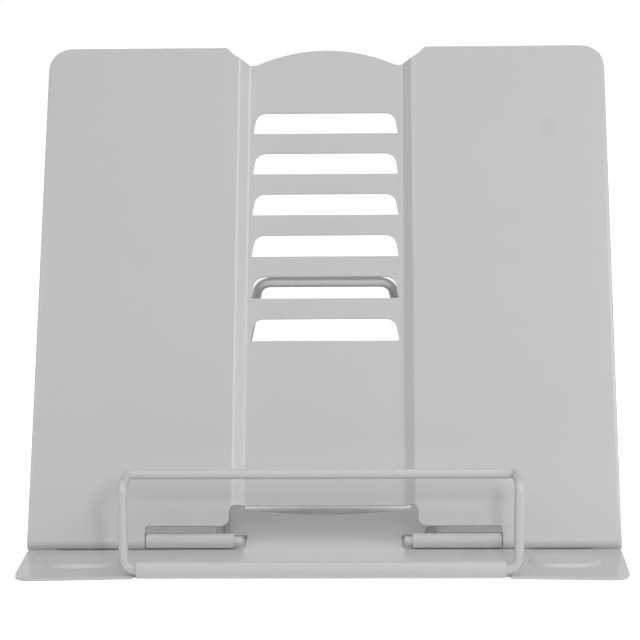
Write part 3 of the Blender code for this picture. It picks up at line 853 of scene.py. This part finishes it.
def soft_foot(name, node):
    """Mould a pad with round ends and a shallow hollow in its underside."""
    low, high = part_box(node)
    size = high - low
    deselect_all()
    bpy.ops.mesh.primitive_cube_add(size=1, location=(low + high) / 2)
    piece = name_added(name)
    piece.scale = size
    apply_place(piece)
    start_editing(piece, "EDGE")
    select_parts(piece, "EDGE", lambda edge: abs(
        edge.verts[0].co.z - edge.verts[1].co.z) > MERGE)
    bpy.ops.mesh.bevel(offset_type="OFFSET", offset=size.y / 2 - MERGE,
                       segments=FOOT_CORNER_STEPS, profile=0.5, affect="EDGES")
    select_parts(piece, "FACE", lambda face: face.normal.z < DOWNWARD)
    bpy.ops.mesh.inset(thickness=size.z / 3, depth=0)
    bpy.ops.mesh.inset(thickness=size.z / 3, depth=-size.z / 5)
    select_parts(piece, "EDGE", lambda edge: edge_turn(edge) > CUT_ANGLE)
    bevel_chosen(size.z / 8, FOOT_ROUND_STEPS)
    stop_editing()
    even_shading(piece, TURNED_SMOOTH_ANGLE)
    finish_piece(piece, "base", node, foot_rubber(name + "_rubber"))


class BOOKSTAND_OT_soft_feet(bpy.types.Operator):
    """Mould the two soft feet under the ledge"""
    bl_idname = "bookstand.soft_feet"
    bl_label = "Soft feet"

    def execute(self, context):
        soft_foot("left_foot", "foot_pad_left")
        soft_foot("right_foot", "foot_pad_right")
        return {"FINISHED"}


# Studio
def seen_directly(tree):
    """One where the camera, a gloss or a clear ray looks, and nought elsewhere."""
    light = tree.nodes.new("ShaderNodeLightPath")
    total = math_node(tree, "ADD", light.outputs["Is Camera Ray"],
                      light.outputs["Is Glossy Ray"])
    total = math_node(tree, "ADD", total, light.outputs["Is Transmission Ray"])
    return math_node(tree, "MINIMUM", total, 1.0)


def white_world(strength):
    world = bpy.data.worlds.new("studio_world")
    world.use_nodes = True
    tree = world.node_tree
    sky = tree.nodes["Background"]
    sky.inputs["Color"].default_value = WHITE
    seen = seen_directly(tree)
    extra = math_node(tree, "MULTIPLY", seen, 1.0 - strength)
    tree.links.new(math_node(tree, "ADD", extra, strength), sky.inputs["Strength"])
    bpy.context.scene.world = world


def floor_material(values):
    """White floor that keeps an oval of shade under the stand."""
    material, tree, shader = new_material("studio_floor")
    shader.inputs["Base Color"].default_value = FLOOR_GREY
    shader.inputs["Roughness"].default_value = FLOOR_ROUGHNESS
    shader.inputs["Specular IOR Level"].default_value = FLOOR_GLOSS
    place = tree.nodes.new("ShaderNodeTexCoord").outputs["Object"]
    centre = HINGE + Vector((0, values.shade_back, 0))
    away = vector_node(tree, "SUBTRACT", place, centre)["Vector"]
    share = vector_node(tree, "DIVIDE", away,
                        (values.shade_width, values.shade_depth, 1))["Vector"]
    reach = vector_node(tree, "LENGTH", share, (0, 0, 0))["Value"]
    glow = ramp_between(tree, reach, values.shade_start, values.shade_end,
                        values.shade_glow, values.floor_glow)
    shown = math_node(tree, "MULTIPLY", glow, seen_directly(tree))
    shader.inputs["Emission Color"].default_value = WHITE
    tree.links.new(shown, shader.inputs["Emission Strength"])
    return material


def soft_lamp(name, place, width, height, power, highlights):
    data = bpy.data.lights.new(name, "AREA")
    data.shape = "RECTANGLE"
    data.size = width
    data.size_y = height
    data.energy = power
    lamp = bpy.data.objects.new(name, data)
    lamp.location = place
    lamp.rotation_mode = "QUATERNION"
    lamp.rotation_quaternion = (LAMP_AIM - Vector(place)).to_track_quat("-Z", "Y")
    lamp.visible_glossy = highlights
    bpy.context.scene.collection.objects.link(lamp)


def photo_camera(values):
    pitch, yaw, roll = values.camera_pitch, values.camera_yaw, values.camera_roll
    ahead = Vector((math.sin(yaw) * math.cos(pitch), math.cos(yaw) * math.cos(pitch),
                    -math.sin(pitch)))
    level = Vector((math.cos(yaw), -math.sin(yaw), 0))
    upward = level.cross(ahead)
    right = level * math.cos(roll) + upward * math.sin(roll)
    above = upward * math.cos(roll) - level * math.sin(roll)
    data = bpy.data.cameras.new("studio_camera")
    data.lens = values.lens
    data.sensor_width = SENSOR_WIDTH
    data.clip_start = NEAREST_SEEN
    camera = bpy.data.objects.new("studio_camera", data)
    turn = Matrix((right, above, -ahead)).transposed().to_4x4()
    place = Matrix.Translation(HINGE + Vector(values.camera_offset))
    camera.matrix_world = place @ turn
    bpy.context.scene.collection.objects.link(camera)
    bpy.context.scene.camera = camera


class BOOKSTAND_OT_studio(bpy.types.Operator):
    """Set up the floor, the lamps, the world and the camera"""
    bl_idname = "bookstand.studio"
    bl_label = "Studio"

    def execute(self, context):
        values = studio_values()
        deselect_all()
        bpy.ops.mesh.primitive_plane_add(size=values.floor_half * 2)
        floor = bpy.context.object
        floor.name = "studio_floor"
        floor.data.materials.append(floor_material(values))
        for name, place, width, height, power, highlights in LAMPS:
            soft_lamp(name, place, width, height, getattr(values, power), highlights)
        white_world(values.world_light)
        photo_camera(values)
        context.scene.view_settings.view_transform = "Standard"
        deselect_all()
        return {"FINISHED"}


class BOOKSTAND_PT_panel(bpy.types.Panel):
    """Lists the stand's pieces and settings"""
    bl_idname = "BOOKSTAND_PT_panel"
    bl_label = "Book Stand"
    bl_space_type = "VIEW_3D"
    bl_region_type = "UI"
    bl_category = "Book Stand"

    def draw(self, context):
        layout = self.layout
        for operator in OPERATORS:
            layout.operator(operator.bl_idname)
        for label, group in (("Sheet", sheet_values()), ("Wire", wire_values()),
                             ("Finish", finish_values()), ("Studio", studio_values())):
            column = layout.column(align=True)
            column.label(text=label)
            for name in type(group).__annotations__:
                column.prop(group, name)


OPERATORS = (
    BOOKSTAND_OT_base_plate,
    BOOKSTAND_OT_back_plate,
    BOOKSTAND_OT_hinge_pins,
    BOOKSTAND_OT_page_bail,
    BOOKSTAND_OT_prop_wire,
    BOOKSTAND_OT_soft_feet,
    BOOKSTAND_OT_studio,
)
GROUPS = {
    "stand_sheet": SheetSettings,
    "stand_wire": WireSettings,
    "stand_finish": FinishSettings,
    "stand_studio": StudioSettings,
}


def register():
    for group in GROUPS.values():
        bpy.utils.register_class(group)
    for operator in OPERATORS:
        bpy.utils.register_class(operator)
    bpy.utils.register_class(BOOKSTAND_PT_panel)
    for name, group in GROUPS.items():
        setattr(bpy.types.Scene, name, PointerProperty(type=group))


def unregister():
    for name in GROUPS:
        delattr(bpy.types.Scene, name)
    bpy.utils.unregister_class(BOOKSTAND_PT_panel)
    for operator in reversed(OPERATORS):
        bpy.utils.unregister_class(operator)
    for group in GROUPS.values():
        bpy.utils.unregister_class(group)


def main():
    register()
    bpy.ops.bookstand.base_plate()
    bpy.ops.bookstand.back_plate()
    bpy.ops.bookstand.hinge_pins()
    bpy.ops.bookstand.page_bail()
    bpy.ops.bookstand.prop_wire()
    bpy.ops.bookstand.soft_feet()
    bpy.ops.bookstand.studio()


if __name__ == "__main__":
    main()
